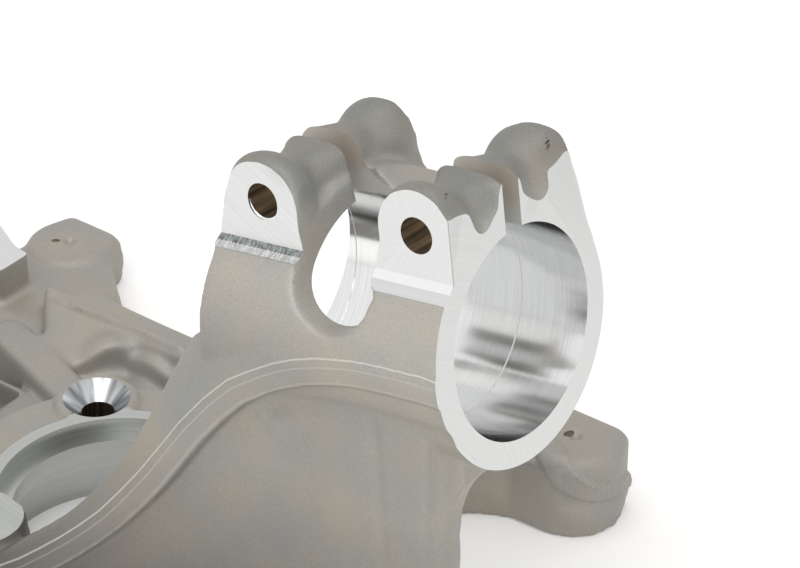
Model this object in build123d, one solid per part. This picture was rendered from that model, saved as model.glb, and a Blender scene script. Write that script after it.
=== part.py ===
from build123d import *
import os
from math import cos, radians, sin

os.makedirs("parts", exist_ok=True)

# The origin is the hub bore's centre on the outboard mounting face. +Z is the wheel axis pointing
# inboard, and +Y runs from the hub to the strut clamp.

# Hub carrier: a ring with a stepped bore
carrier_thickness = 29.0
carrier_r = 61.0
hub_seat_r = 40.5
hub_seat_depth = 20.0
lip_r = 33.3
lip_thickness = 6.6
recess_r = 38.3
land_r = 41.5
land_height = 32.0

# Hub bolts, on a circle, each in its own cast boss: angles and seat heights
bolt_circle_r = 51.0
bolt_count = 3
bolt_first_angle = 229.0
bolt_seat_heights = (land_height, 47.0, land_height)
bolt_hole_r = 5.5
bolt_cone_r = 11.2
bolt_boss_r = 14.5

# Wheel speed sensor: a radial hole through the ring into the hub seat
sensor_angle = 292.0
sensor_hole_r = 7.0
sensor_boss_r = 12.0
sensor_reach_r = 70.0

# Strut clamp: its frame is the near face's centre, u across, v towards the slot, w along the bore
clamp_x = 4.0
clamp_y = 158.0
clamp_z = 160.0
clamp_lean = 9.9
clamp_twist = 4.1
clamp_length = 90.0
clamp_far_y = 75.5
strut_r = 30.0
strut_relief = 0.06
relief_from = 22.0
relief_to = 82.0
clamp_wall = 7.7
slot_width = 7.0
saddle_v = 31.5
shoulder_v = 8.0
left_shoulder_top = ((-4.0, 38.0), (-8.0, 36.6), (-15.5, 35.0), (-18.0, 38.0))
right_shoulder_top_v = 34.8
flank_slope_in = 0.3265

# Pinch bolts: clearance holes in the left ears and threads in the right ears
pinch_v = 36.7
pinch_near_w = -10.7
pinch_far_w = -63.2
pinch_clear_r = 5.15
pinch_thread_r = 4.25
pinch_thread_depth = 24.0
spotface_u = 27.1
spotface_v = 24.5
spotface_bevel_u = 3.2
spotface_bevel_v = 1.6
ear_boss_r = 12.3
ear_crown_r = 10.6
ear_waist_r = 8.7
lip_top_v = 46.2
lip_half_width = 11.0
lip_length = 12.0
lip_corner_r = 3.5
near_hump_r = 12.9
far_hump_r = 11.9
hump_u = 21.0
hump_end_u = 34.0
near_ear_root = (0.0, -24.5)
far_ear_root = (-50.0, -88.0)

# Window in the left wall, between the two ears
window_near_w = -23.8
window_far_w = -50.6
window_bottom_v = 6.5

# Neck: two walls and a floor between the clamp and the carrier. Its side gives the parting band's
# points in x, y and z, and the flank above the band leans inwards up to the crest.
neck_wall = 14.0
neck_back_wall = 11.0
neck_floor = 13.0
neck_side = ((61.0, 0.0, 38.0), (58.0, 33.0, 65.0), (51.0, 60.0, 97.0), (44.5, 88.0, 136.0), (42.6, 118.0, 155.0))
neck_front_corner = (39.0, 161.0)
neck_back_corner = (-37.0, 104.0)
neck_back_root = (-50.0, 30.0)
neck_corner_r = 9.0
band_end = (172.0, 168.0)
neck_crest = ((172.0, 169.0), (110.0, 162.0), (72.0, 143.0), (57.0, 110.0), (36.0, 75.0), (20.0, 58.0), (0.0, 40.0))
flank_slope = 2.4
neck_foot = (165.0, 68.0)
neck_heel = (54.0, 0.0)
band_width = 8.0
web_depth = 4.5
inset_points = 9

# Caliper side: a rib that follows these corners and ends in two ears
rib_corners = ((-80.0, -84.0), (-80.0, 20.0), (-93.0, 68.0), (-112.0, 94.0))
rib_half_width = 6.5
rib_height = 27.5
deck_height = 14.0
terrace_plan = ((-68.0, -77.0, 13.5), (-80.0, -98.0, 6.5), (-80.0, -58.0, 6.5))
terrace_slope = ((-80.0, 27.5), (-54.0, 19.0))
shelf_x = -75.0
shelf_height = 21.0
lower_ear = (-114.0, -126.0, 19.0)
upper_ear = (-115.0, 98.0, 30.0)
ear_r = 16.5
ear_round = 4.0
ear_outer_r = 14.5
ear_outer_x = -120.5
ear_band_height = 9.0
ear_band_width = 6.0
ear_band_rise = 1.0
ear_web_r = 13.0
ear_face_x = -127.5
caliper_hole_r = 6.5
caliper_hole_z = 9.0
caliper_hole_depth = 24.0
dimple_r = 2.4

# Lower arm and its ball joint boss, whose bore runs along Y
ball_x = -20.0
ball_y = -112.0
ball_z = 20.0
ball_boss_r = 20.0
ball_boss_length = 34.0
ball_bore_r = 9.0
ball_nut_space = 17.0
lower_arm_height = 15.0
lower_arm_root = (-8.0, -40.0)
lower_arm_root_r = 34.0
lower_rib_start = (-42.0, -56.0)
lower_rib_end = (-57.0, -102.0)
lower_rib_half_width = 7.5
lower_rib_height = 21.0

# Machined pad beside the lower caliper ear
pad_x = -76.0
pad_y = -134.0
pad_corners = ((-93.0, -140.0), (-85.9, -125.8), (-84.8, -118.2), (-70.4, -118.2), (-66.0, -132.0), (-76.0, -146.0))
pad_height = 31.0
pad_foot_r = 12.0
pad_hole_r = 4.25
pad_hole_depth = 18.0

# Steering arm and its joint boss, whose bore runs along Y
steer_x = 121.0
steer_y = -38.0
steer_z = 34.0
steer_boss_r = 16.5
steer_boss_length = 26.0
steer_bore_r = 7.5
steer_arm_root = (60.0, -6.0)
steer_arm_half_width = 12.0
steer_arm_height = 22.0

# Blends on the cast edges
plate_round = 4.0
rib_round = 3.0
ring_round = 2.5

reach = 400.0
clamp_outer_r = strut_r + clamp_wall
slot_half = slot_width / 2


def clamp_plane():
    """The clamp's own frame: x is u, y is v and z is w."""
    lean = radians(clamp_lean)
    twist = radians(clamp_twist)
    along = Vector(0, cos(lean), sin(lean))
    raised = Vector(0, -sin(lean), cos(lean))
    across = Vector(-1, 0, 0) * cos(twist) - raised * sin(twist)
    return Plane(origin=(clamp_x, clamp_y, clamp_z), x_dir=across, z_dir=along)


def disc(x, y, radius, bottom, top):
    """A cylinder along +Z between two heights."""
    return Pos(x, y, bottom) * extrude(Circle(radius), amount=top - bottom)


def hull_plate(circles, bottom, top, blend=0.0):
    """A plate with a blended top, whose outline is the hull of circles given as x, y and radius."""
    rims = [edge for x, y, radius in circles for edge in (Pos(x, y) * Circle(radius)).edges()]
    plate = Pos(0, 0, bottom) * extrude(make_hull(rims), amount=top - bottom)
    if blend:
        plate = fillet(plate.edges().group_by(Axis.Z)[-1], blend)
    return plate


def along_x(face, start=-reach / 2, length=reach):
    """Sweeps a sketch drawn in y and z, or in v and w, along X or u."""
    return extrude(Plane.YZ.offset(start) * face, amount=length, dir=(1, 0, 0))


def along_y(face, start, length):
    """Sweeps a sketch drawn in x and z along Y."""
    return extrude(Plane.XZ.offset(-start) * face, amount=length, dir=(0, 1, 0))


def polar(radius, angle):
    """A point of the XY plane at this radius and angle in degrees."""
    return radius * cos(radians(angle)), radius * sin(radians(angle))


def clamp_tube():
    """The clamp's round wall with a left and a right shoulder that carry the ears."""
    wall = extrude(Circle(clamp_outer_r), amount=-clamp_length)
    left = Polygon(
        (0, 0), *left_shoulder_top, (-spotface_u, pinch_v), (-spotface_u, spotface_v),
        (-spotface_u - spotface_bevel_u, spotface_v - spotface_bevel_v), (1 - clamp_outer_r, shoulder_v),
        align=None)
    right = Polygon(
        (0, 0), (clamp_outer_r - 1, shoulder_v), (flank_u(pinch_v) - 1, pinch_v), (hump_u, pinch_v),
        (hump_u - 4, right_shoulder_top_v), (slot_half, right_shoulder_top_v), align=None)
    shoulders = extrude(left, amount=-clamp_length) + extrude(right, amount=-clamp_length)
    ears = ear_outline(pinch_near_w, near_ear_root) + ear_outline(pinch_far_w, far_ear_root)
    return wall + (shoulders & ears)


def flank_u(v):
    """How far out the right ears' flat flank lies at this height."""
    return clamp_outer_r - 1 - (v - shoulder_v) * flank_slope_in


def ear_outline(bolt_w, root):
    """The side outline of an ear's web: round about its pinch bolt and wider at its root."""
    crown = (Pos(pinch_v, bolt_w) * Circle(ear_crown_r)).edges()
    foot = Line((0, root[0]), (0, root[1]))
    return along_x(make_hull(crown + [foot]))


def ear(bolt_w, hump_r):
    """One pair of ears: a hood and a blind hump turned about the pinch bolt, and the lips at the slot."""
    lip_r = lip_top_v - pinch_v
    left = Spline((-spotface_u, ear_boss_r), (-spotface_u + 7.5, ear_boss_r), (-15.0, ear_waist_r + 0.5),
                  (-12.0, ear_waist_r), (0, lip_r))
    right = Spline((0, lip_r), (10.5, ear_waist_r), (16.5, hump_r - 1.5), (hump_u, hump_r),
                   (hump_end_u - 6, hump_r - 1.5), (hump_end_u, 0))
    shaft = Polyline((hump_end_u, 0), (-spotface_u, 0), (-spotface_u, ear_boss_r))
    turned = revolve(make_face([left, right, shaft]), axis=Axis.X)
    lip = Plane.YZ * RectangleRounded(2 * lip_r, 2 * lip_half_width, lip_corner_r)
    valley = RectangleRounded(2 * ear_waist_r, 2 * ear_waist_r, ear_waist_r - 1)
    for end in (-lip_length, lip_length):
        turned += loft([lip, Plane.YZ.offset(end) * valley])
    return Pos(0, pinch_v, bolt_w) * turned


def gap_between_ears(bottom_v, start, length):
    """A round-bottomed gap between the ears, cut across the clamp from u = start."""
    radius = (window_near_w - window_far_w) / 2
    foot = Pos(bottom_v + radius, window_near_w - radius) * Circle(radius)
    above = Pos(bottom_v + radius + reach / 4, window_near_w - radius) * Rectangle(reach / 2, 2 * radius)
    return along_x(foot + above, start, length)


def pinch_holes(bolt_w):
    """A clearance hole in the left ear and a blind thread in the right one."""
    clear = along_x(Pos(pinch_v, bolt_w) * Circle(pinch_clear_r), -reach, reach)
    thread = along_x(Pos(pinch_v, bolt_w) * Circle(pinch_thread_r), 0, slot_half + pinch_thread_depth)
    return clear + thread


def clamp_cuts():
    """What is machined into the clamp: bore, relief, slot, end faces, spotfaces and bolt holes."""
    bore = Pos(0, 0, reach / 2) * extrude(Circle(strut_r), amount=-reach)
    relief = Pos(0, 0, -relief_from) * extrude(Circle(strut_r + strut_relief), amount=relief_from - relief_to)
    slot = Pos(0, reach / 4, 0) * Box(slot_width, reach / 2, reach)
    near_end = Pos(0, 0, reach / 4) * Box(reach, reach, reach / 2)
    flat = Pos(-spotface_u - reach / 4, spotface_v + reach / 4, 0) * Box(reach / 2, reach / 2, reach)
    window = gap_between_ears(window_bottom_v, -reach, reach)
    saddle = gap_between_ears(saddle_v, 0, reach)
    flank_top_v = pinch_v + 2 * ear_boss_r
    outside = Polygon((flank_u(shoulder_v), shoulder_v), (reach, shoulder_v), (reach, flank_top_v),
                      (flank_u(flank_top_v), flank_top_v), align=None)
    flank_cut = Pos(0, 0, reach / 2) * extrude(outside, amount=reach, dir=(0, 0, -1))
    holes = pinch_holes(pinch_near_w) + pinch_holes(pinch_far_w)
    return [bore, relief, slot, near_end, flat, window, saddle, flank_cut, holes]


def inset(curve, distance):
    """A spline that runs beside a curve, this far to its left."""
    points = []
    for step in range(inset_points):
        place = step / (inset_points - 1)
        tangent = curve % place
        points.append(curve @ place + Vector(-tangent.Y, tangent.X) * distance)
    return Spline(*points)


def side_plan():
    """The neck's outer side seen along the wheel axis."""
    return Spline(*[(x, y) for x, y, z in neck_side])


def band_line():
    """The parting band's upper edge in y and z, from the clamp to the hub."""
    return Spline(band_end, *[(y, z) for x, y, z in reversed(neck_side)])


def below(line):
    """The sketch of all that lies under a line that runs towards the hub."""
    return make_face([line, Polyline(line @ 1, (0, -reach), (band_end[0], -reach), line @ 0)])


def neck_plan():
    """The neck's outline seen along the wheel axis."""
    side = side_plan()
    rest = Polyline(side @ 1, neck_front_corner, neck_back_corner, neck_back_root, (0, 0), side @ 0)
    plan = make_face([side, rest])
    corners = [v for v in plan.vertices() if (v.X, v.Y) in (neck_front_corner, neck_back_corner)]
    return fillet(corners, neck_corner_r)


def flank():
    """All that lies under the flank, which leans inwards from the band."""
    foot_x = neck_side[0][0]
    rise = [(y, z - flank_slope * (foot_x - x)) for x, y, z in reversed(neck_side)]
    line = Spline((band_end[0], rise[0][1]), *rise)
    return extrude(Plane.YZ.offset(foot_x) * below(line), amount=reach / 4, dir=(-1, 0, flank_slope))


def neck_hollow():
    """The room behind the side wall, open towards the hub and the clamp."""
    side = inset(side_plan(), neck_wall)
    back_x = neck_back_corner[0] + neck_back_wall
    rest = Polyline(side @ 1, (back_x, neck_back_corner[1] - neck_floor),
                    (neck_back_root[0] + neck_back_wall, neck_back_root[1]), (0, 0), side @ 0)
    over_floor = Polygon(
        (neck_heel[0] - reach / 4, neck_floor), (neck_heel[0], neck_floor),
        (neck_foot[0], neck_foot[1] + neck_floor), (neck_foot[0], reach), (neck_heel[0] - reach / 4, reach),
        align=None)
    return extrude(make_face([side, rest]), amount=reach) & along_x(over_floor)


def web_recess():
    """What the side wall lies back under its parting band."""
    side = inset(side_plan(), web_depth)
    beside = Polyline(side @ 1, (neck_front_corner[0] - web_depth, reach), (reach, reach), (reach, 0), side @ 0)
    return extrude(make_face([side, beside]), amount=reach, dir=(0, 0, 1)) & along_x(
        below(inset(band_line(), band_width)))


def neck():
    """The neck: a wall that leans in above its parting band, hollowed from the hub's side."""
    stem = extrude(neck_plan(), amount=reach)
    wall = (stem & along_x(below(band_line()))) + (stem & along_x(below(Spline(*neck_crest))) & flank())
    underside = Polygon((-reach, 0), neck_heel, neck_foot, (reach, neck_foot[1]), (reach, -reach), (-reach, -reach),
                        align=None)
    return wall - along_x(underside) - neck_hollow() - web_recess()


def carrier():
    """The hub ring with its bolt bosses, before the bores are cut."""
    ring = hull_plate([(0, 0, carrier_r)], 0, carrier_thickness, ring_round)
    ring += disc(0, 0, land_r, 0, land_height)
    for index in range(bolt_count):
        x, y = polar(bolt_circle_r, bolt_angle(index))
        ring += hull_plate([(x, y, bolt_boss_r)], 0, bolt_seat_heights[index], ring_round)
    boss = Rot(0, 90, 0) * extrude(Circle(sensor_boss_r), amount=sensor_reach_r)
    return ring + Pos(0, 0, sensor_boss_r) * Rot(0, 0, sensor_angle) * boss


def bolt_angle(index):
    """The angle of a hub bolt, in degrees."""
    return bolt_first_angle + index * 360.0 / bolt_count


def hub_cuts():
    """The stepped hub bore, the hub bolt holes with their cones, and the sensor hole."""
    seat = disc(0, 0, hub_seat_r, -1, hub_seat_depth)
    through = disc(0, 0, lip_r, -1, land_height + 1)
    recess = disc(0, 0, recess_r, hub_seat_depth + lip_thickness, reach / 8)
    cuts = [seat, through, recess]
    cone_depth = bolt_cone_r - bolt_hole_r
    for index in range(bolt_count):
        x, y = polar(bolt_circle_r, bolt_angle(index))
        top = bolt_seat_heights[index]
        cuts.append(disc(x, y, bolt_hole_r, -1, top + 1))
        if top == land_height:
            cuts.append(Pos(x, y, top - cone_depth / 2) * Cone(bolt_hole_r, bolt_cone_r, cone_depth))
            cuts.append(disc(x, y, bolt_cone_r, top, top + 60))
    hole = Rot(0, 90, 0) * extrude(Circle(sensor_hole_r), amount=sensor_reach_r + 10)
    cuts.append(Pos(0, 0, sensor_boss_r) * Rot(0, 0, sensor_angle) * hole)
    return cuts


def caliper_side():
    """The rib with its deck, and the two caliper ears with their parting bands."""
    x, y, top = lower_ear
    deck_points = [(0, -40), (x, y), *rib_corners[:-1], (-50, 60)]
    side = extrude(Polygon(*deck_points, align=None), amount=deck_height, dir=(0, 0, 1))
    for start, end in zip(rib_corners, rib_corners[1:]):
        side += hull_plate([(*start, rib_half_width), (*end, rib_half_width)], 0, rib_height, rib_round)
    web = [(x, y, ear_web_r), (*rib_corners[0], ear_web_r), (pad_x, pad_y, pad_foot_r)]
    side += hull_plate(web, 0, top - ear_round / 2, ear_round)
    return side + terrace() + caliper_ear(*lower_ear) + caliper_ear(*upper_ear)


def terrace():
    """The mass that slopes down from the rib to a rounded front, and the shelf beside it."""
    (high_x, high_z), (low_x, low_z) = terrace_slope
    profile = Polygon((high_x, 0), (low_x, 0), (low_x, low_z), (high_x, high_z), align=None)
    mass = hull_plate(terrace_plan, 0, high_z) & along_y(profile, -reach / 2, reach)
    shelf = [(shelf_x, y, rib_half_width) for y in (terrace_plan[0][1], rib_corners[1][1])]
    return mass + hull_plate(shelf, 0, shelf_height, rib_round)


def caliper_ear(x, y, top):
    """A round ear with a blended top and a band round its waist."""
    band_low = ear_band_height - ear_band_width / 2
    body = hull_plate([(x, y, ear_r), (ear_outer_x, y, ear_outer_r)], 0, top, ear_round)
    band = hull_plate([(x, y, ear_r + ear_band_rise), (ear_outer_x, y, ear_outer_r + ear_band_rise)],
                      band_low, band_low + ear_band_width)
    return body + band


def caliper_cuts():
    """The machined ear faces, their bolt holes, and the small dimples on the ears' tops."""
    cuts = [Pos(ear_face_x - reach / 4, 0, 0) * Box(reach / 2, reach, reach)]
    for x, y, top in (lower_ear, upper_ear):
        mouth = Pos(y, caliper_hole_z) * Circle(caliper_hole_r)
        cuts.append(along_x(mouth, ear_face_x - 1, caliper_hole_depth + 1))
        cuts.append(Pos(x, y, top) * Sphere(dimple_r))
    return cuts


def lower_arm():
    """The arm to the ball joint boss, with its rib and the pad beside the lower ear."""
    arm_end_y = ball_y - ball_boss_length / 2 + ball_boss_r
    arm = hull_plate([(*lower_arm_root, lower_arm_root_r), (ball_x, arm_end_y, ball_boss_r)], 0,
                     lower_arm_height, plate_round)
    rib = [(*lower_rib_start, lower_rib_half_width), (*lower_rib_end, lower_rib_half_width)]
    arm += hull_plate(rib, 0, lower_rib_height, rib_round)
    arm += hull_plate([rib[1], (pad_x, pad_y, pad_foot_r), (*rib_corners[0], ear_web_r)], 0, deck_height,
                      plate_round)
    arm += extrude(Polygon(*pad_corners, align=None), amount=pad_height, dir=(0, 0, 1))
    end = Pos(ball_x, ball_z) * Circle(ball_boss_r)
    return arm + along_y(end, ball_y - ball_boss_length / 2, ball_boss_length)


def joint_cuts():
    """The ball joint's bore, the room for its nut, the pad's hole and the steering joint's bore."""
    inner_end = ball_y + ball_boss_length / 2
    bore = along_y(Pos(ball_x, ball_z) * Circle(ball_bore_r), -reach / 2, inner_end + reach / 2 + 1)
    nut = Pos(ball_x, inner_end + ball_nut_space / 2, ball_z + reach / 4) * Box(
        2 * ball_nut_space, ball_nut_space, 2 * ball_nut_space + reach / 2)
    pad_hole = disc(pad_x, pad_y, pad_hole_r, pad_height - pad_hole_depth, pad_height + 1)
    steering_mouth = Pos(steer_x, steer_z) * Circle(steer_bore_r)
    steering = along_y(steering_mouth, steer_y - steer_boss_length / 2 - 1, steer_boss_length + 2)
    return [bore, nut, pad_hole, steering]


def steering_arm():
    """The arm to the steering joint's boss."""
    ends = [(*steer_arm_root, steer_arm_half_width + 4), (steer_x - 4, steer_y, steer_arm_half_width)]
    arm = hull_plate(ends, steer_z - steer_arm_height / 2, steer_z + steer_arm_height / 2, plate_round)
    end = Pos(steer_x, steer_z) * Circle(steer_boss_r)
    return arm + along_y(end, steer_y - steer_boss_length / 2, steer_boss_length)


frame = clamp_plane()
ears = ear(pinch_near_w, near_hump_r) + ear(pinch_far_w, far_hump_r)
clamp_body = frame * (clamp_tube() + ears)
clamp_body -= Pos(0, clamp_far_y - reach / 4, 0) * Box(reach, reach / 2, 2 * reach)
casting = neck() + clamp_body + carrier() + caliper_side() + lower_arm() + steering_arm()
for cut in clamp_cuts():
    casting -= frame * cut
for cut in hub_cuts() + caliper_cuts() + joint_cuts():
    casting -= cut
export_step(casting, "parts/steering_knuckle.step")
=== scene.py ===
import bpy
import numpy as np
from math import atan2, cos, degrees, pi, radians, sin
from mathutils import Matrix, Vector
from mathutils.kdtree import KDTree


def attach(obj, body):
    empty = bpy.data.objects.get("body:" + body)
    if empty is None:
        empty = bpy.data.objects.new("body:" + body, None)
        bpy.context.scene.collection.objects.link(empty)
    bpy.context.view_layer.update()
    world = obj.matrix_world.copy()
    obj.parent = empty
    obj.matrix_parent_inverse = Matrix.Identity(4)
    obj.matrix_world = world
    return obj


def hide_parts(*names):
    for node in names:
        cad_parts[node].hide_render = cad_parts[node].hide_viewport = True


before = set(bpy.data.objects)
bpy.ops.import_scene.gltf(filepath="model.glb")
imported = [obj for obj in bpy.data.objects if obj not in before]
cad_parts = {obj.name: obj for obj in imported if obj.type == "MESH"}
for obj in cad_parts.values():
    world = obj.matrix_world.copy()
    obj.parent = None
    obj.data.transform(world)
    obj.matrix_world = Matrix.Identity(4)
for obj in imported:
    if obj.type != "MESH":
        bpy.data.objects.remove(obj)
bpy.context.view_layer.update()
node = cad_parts["steering_knuckle"]

# The split clamp, in metres: u runs across it, v up through its slot and w out of its near face
clamp = {
    "origin": (0.004, 0.158, 0.160),   # centre of the near face
    "lean": 9.9,                       # degrees from +Y towards +Z
    "twist": 4.1,                      # degrees about the clamp's own axis
    "boreR": 0.030,
    "reliefR": 0.0302,
    "reliefFrom": -0.022,
    "reliefTo": -0.082,
    "grooveR": 0.03035,
    "grooveFrom": -0.0219,
    "grooveTo": -0.0226,
    "farCutR": 0.0325,
    "farCutFrom": -0.070,
    "farFaceY": 0.0755,                # the far end is cut square to the wheel's axis
    "outerR": 0.0377,
    "slotHalf": 0.0035,
    "slotFoot": 0.020,
    "pinchV": 0.0367,
    "pinchW": (-0.0107, -0.0632),
    "pinchR": 0.00515,
    "threadR": 0.00425,
    "threadDepth": 0.016,
    "spotU": -0.0271,
    "spotHalf": 0.0185,
    "scarDrop": 0.0004,                # a shallow second drill mark at the far hole's mouth
    "scarDepth": 0.0007,
    "windowW": -0.0372,
    "windowR": 0.0134,
    "windowV": 0.0199,
}
# Outlines in the clamp's frame, in millimetres
outlines = {
    # The near face in u and v, from the left bevel over the slot to the right flank
    "faceTop": (
        (-30.6, 20.6), (-30.6, 24.6), (-28.6, 25.0), (-28.6, 41.9), (-26.6, 42.1), (-23.6, 42.8),
        (-20.3, 42.5), (-18.6, 40.9), (-17.4, 38.1), (-16.2, 35.2), (-14.5, 33.6), (-12.2, 33.4),
        (-9.8, 34.3), (-7.0, 35.5), (-5.1, 38.0), (-4.4, 42.6), (-3.6, 44.2), (3.7, 43.0), (4.1, 40.3),
        (4.6, 37.4), (5.9, 35.4), (7.7, 34.3), (11.0, 33.3), (13.9, 32.9), (16.0, 33.9), (16.8, 36.2),
        (17.1, 39.0), (18.2, 41.2), (21.0, 41.8), (24.1, 41.6), (26.5, 41.2), (29.3, 33.0), (31.8, 22.3),
        (34.3, 11.3), (36.6, 3.2), (37.4, -4.9)),
    # The near and far spotfaces and pairs of lips, in v and w
    "spots": (
        ((20.0, -26.6), (24.5, -25.8), (33.6, -23.0), (38.5, -23.2), (43.5, -21.4), (47.2, -17.8),
         (49.2, -13.0), (49.2, -8.6), (47.2, -3.8), (43.8, -0.6), (42.0, 2.0), (20.0, 2.0)),
        ((21.0, -80.8), (23.3, -80.2), (27.8, -79.1), (36.7, -76.7), (41.4, -73.8), (44.9, -71.0),
         (47.3, -67.2), (47.4, -63.3), (46.2, -59.5), (43.4, -56.0), (38.9, -53.3), (32.0, -51.7),
         (24.3, -50.7), (21.0, -50.5))),
    "lips": (
        ((28.0, -21.5), (43.2, -22.0), (45.4, -20.6), (46.5, -18.4), (46.7, -13.0), (45.8, -6.0),
         (45.4, -2.0), (44.2, -0.6), (42.9, 0.0), (28.0, 0.0)),
        ((28.0, -75.0), (41.2, -75.2), (43.4, -74.2), (45.9, -71.0), (46.4, -67.0), (46.2, -61.2),
         (45.0, -54.8), (42.7, -52.7), (28.0, -52.4))),
    # Below each spotface: its lower edge's height, then the two facets' ends in u and v
    "facets": ((24.7, (-28.7, 22.6), (-31.4, 20.5)), (24.5, (-28.6, 23.1), (-30.5, 21.9))),
}
spotFinishes = (("spotNear", "bevelled", "faced"), ("spotFar", "torn", "chipped"))
rowPlace = Matrix.Identity(4)
acrossTurn = Matrix.Rotation(pi / 2, 4, "Y")    # a primitive's Z becomes X or u
alongTurn = Matrix.Rotation(-pi / 2, 4, "X")    # a primitive's Z becomes Y


def clampMatrix():
    lean = radians(clamp["lean"])
    twist = radians(clamp["twist"])
    along = Vector((0, cos(lean), sin(lean)))
    raised = Vector((0, -sin(lean), cos(lean)))
    across = Vector((-1, 0, 0)) * cos(twist) - raised * sin(twist)
    up = along.cross(across)
    place = Matrix((across, up, along)).transposed().to_4x4()
    place.translation = clamp["origin"]
    return place


clampPlace = clampMatrix()


def lay(piece, place):
    piece.matrix_world = place
    bpy.ops.object.transform_apply(location=True, rotation=True, scale=True)
    return piece


def cylinder(place, radius, start, end, topRadius=None, sides=128):
    bpy.ops.object.select_all(action="DESELECT")
    bpy.ops.mesh.primitive_cone_add(vertices=sides, radius1=radius, radius2=topRadius or radius,
                                    depth=end - start)
    return lay(bpy.context.object, place @ Matrix.Translation((0, 0, (start + end) / 2)))


def block(place, low, high):
    bpy.ops.object.select_all(action="DESELECT")
    bpy.ops.mesh.primitive_cube_add(size=1)
    middle = [(a + b) / 2 for a, b in zip(low, high)]
    size = [b - a for a, b in zip(low, high)]
    return lay(bpy.context.object, place @ Matrix.Translation(middle) @ Matrix.Diagonal((*size, 1)))


def plate(place, outline, start, end):    # a flat outline in millimetres, raised along its own Z
    bpy.ops.object.select_all(action="DESELECT")
    bpy.ops.mesh.primitive_circle_add(vertices=len(outline), radius=1, fill_type="NGON")
    piece = bpy.context.object
    for vertex, (x, y) in zip(piece.data.vertices, outline):
        vertex.co = (x / 1000, y / 1000, start)
    bpy.ops.object.mode_set(mode="EDIT")
    bpy.ops.mesh.select_all(action="SELECT")
    bpy.ops.mesh.extrude_region_move(TRANSFORM_OT_translate={"value": (0, 0, end - start)})
    bpy.ops.mesh.select_all(action="SELECT")
    bpy.ops.mesh.normals_make_consistent(inside=False)
    bpy.ops.object.mode_set(mode="OBJECT")
    return lay(piece, place)


def positions(body):
    flat = np.empty(len(body.data.vertices) * 3)
    body.data.vertices.foreach_get("co", flat)
    return flat.reshape(-1, 3)


def move(body, points):
    body.data.vertices.foreach_set("co", points.ravel())
    body.data.update()


def acrossClamp(v, w):    # the place of a primitive whose Z runs along u
    return clampPlace @ Matrix.Translation((0, v, w)) @ acrossTurn


def acrossPlate(outline, start, end):    # an outline given in v and w, raised along u
    return plate(acrossClamp(0, 0), [(-w, v) for v, w in outline], start, end)


def boolean(piece, other, operation):
    cut = piece.modifiers.new("cut", "BOOLEAN")
    cut.operation = operation
    cut.solver = "EXACT"
    cut.object = other
    cut.material_mode = "TRANSFER"
    bpy.context.view_layer.objects.active = piece
    bpy.ops.object.modifier_apply(modifier=cut.name)
    bpy.data.objects.remove(other)
    return piece


def join(pieces):
    bpy.ops.object.select_all(action="DESELECT")
    for piece in pieces:
        piece.select_set(True)
    bpy.context.view_layer.objects.active = pieces[0]
    bpy.ops.object.join()
    return pieces[0]


def polar(radius, angle):
    return radius * cos(radians(angle)), radius * sin(radians(angle))


# Metal that fills the machined places until they are cut, in metres
stock = {
    "round": 0.001,    # how much wider than its bore or hole
    "boreFrom": -0.100,
    "near": (-0.002, 0.006),    # over the near face, in w
    "window": (-0.06, 0.06),    # how far the window reaches across and up
    "lipHalf": 0.0043,
    "pinch": (-0.026, 0.027),
    "spot": (0.0035, 0.003),    # over and under the spotface
    "seat": 0.0005,
    "land": 0.003,
    "outboard": 0.002,    # below and above the outboard face
    "ring": 0.0014,    # how much narrower than the ring
    "foot": 0.001,    # where the bolts' fillers start
    "boss": (0.0008, 0.001),    # how much narrower and taller
    "cone": (0.0005, 0.0002),    # how much wider and taller
    "pad": (0.004, 0.002),    # where it starts, and its height over the pad
    "ear": 0.002,    # in front of an ear's bolt face
}
# Places where the skin flows on farther than the solid does
blends = {
    # The neck's foot flares out under the clamp: an outline in y and z, and its ends in x
    "gusset": ((146.0, 60.0), (152.0, 66.0), (154.4, 95.0), (154.0, 103.0), (155.0, 113.0), (156.7, 119.0),
               (159.0, 124.0), (161.3, 127.6), (160.6, 133.0), (156.0, 142.0), (146.0, 142.0)),
    "gussetX": (0.0245, 0.0335),
    # The upper caliper ear flows into the rib beside it: an outline in x and y, and its ends in z
    "earFoot": ((-104.0, 86.0), (-96.4, 82.0), (-97.0, 86.0), (-97.3, 92.0), (-97.6, 98.0), (-98.4, 102.0),
                (-104.0, 102.0)),
    "earFootZ": (0.0005, 0.027),
}
hub = {
    "ringR": 0.0605,
    "landZ": 0.032,
    "landR": 0.0415,
    "recessR": 0.0383,
    "lipTop": 0.0266,
    "lipR": 0.0333,
    "seatR": 0.0405,
    "seatZ": 0.020,
    "boltCircle": 0.051,
    "boltAngles": (229.0, 349.0, 109.0),
    "seatHeights": (0.032, 0.047, 0.032),
    "bossR": 0.0145,
    "boltR": 0.0055,
    "coneR": 0.0112,
}
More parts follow.
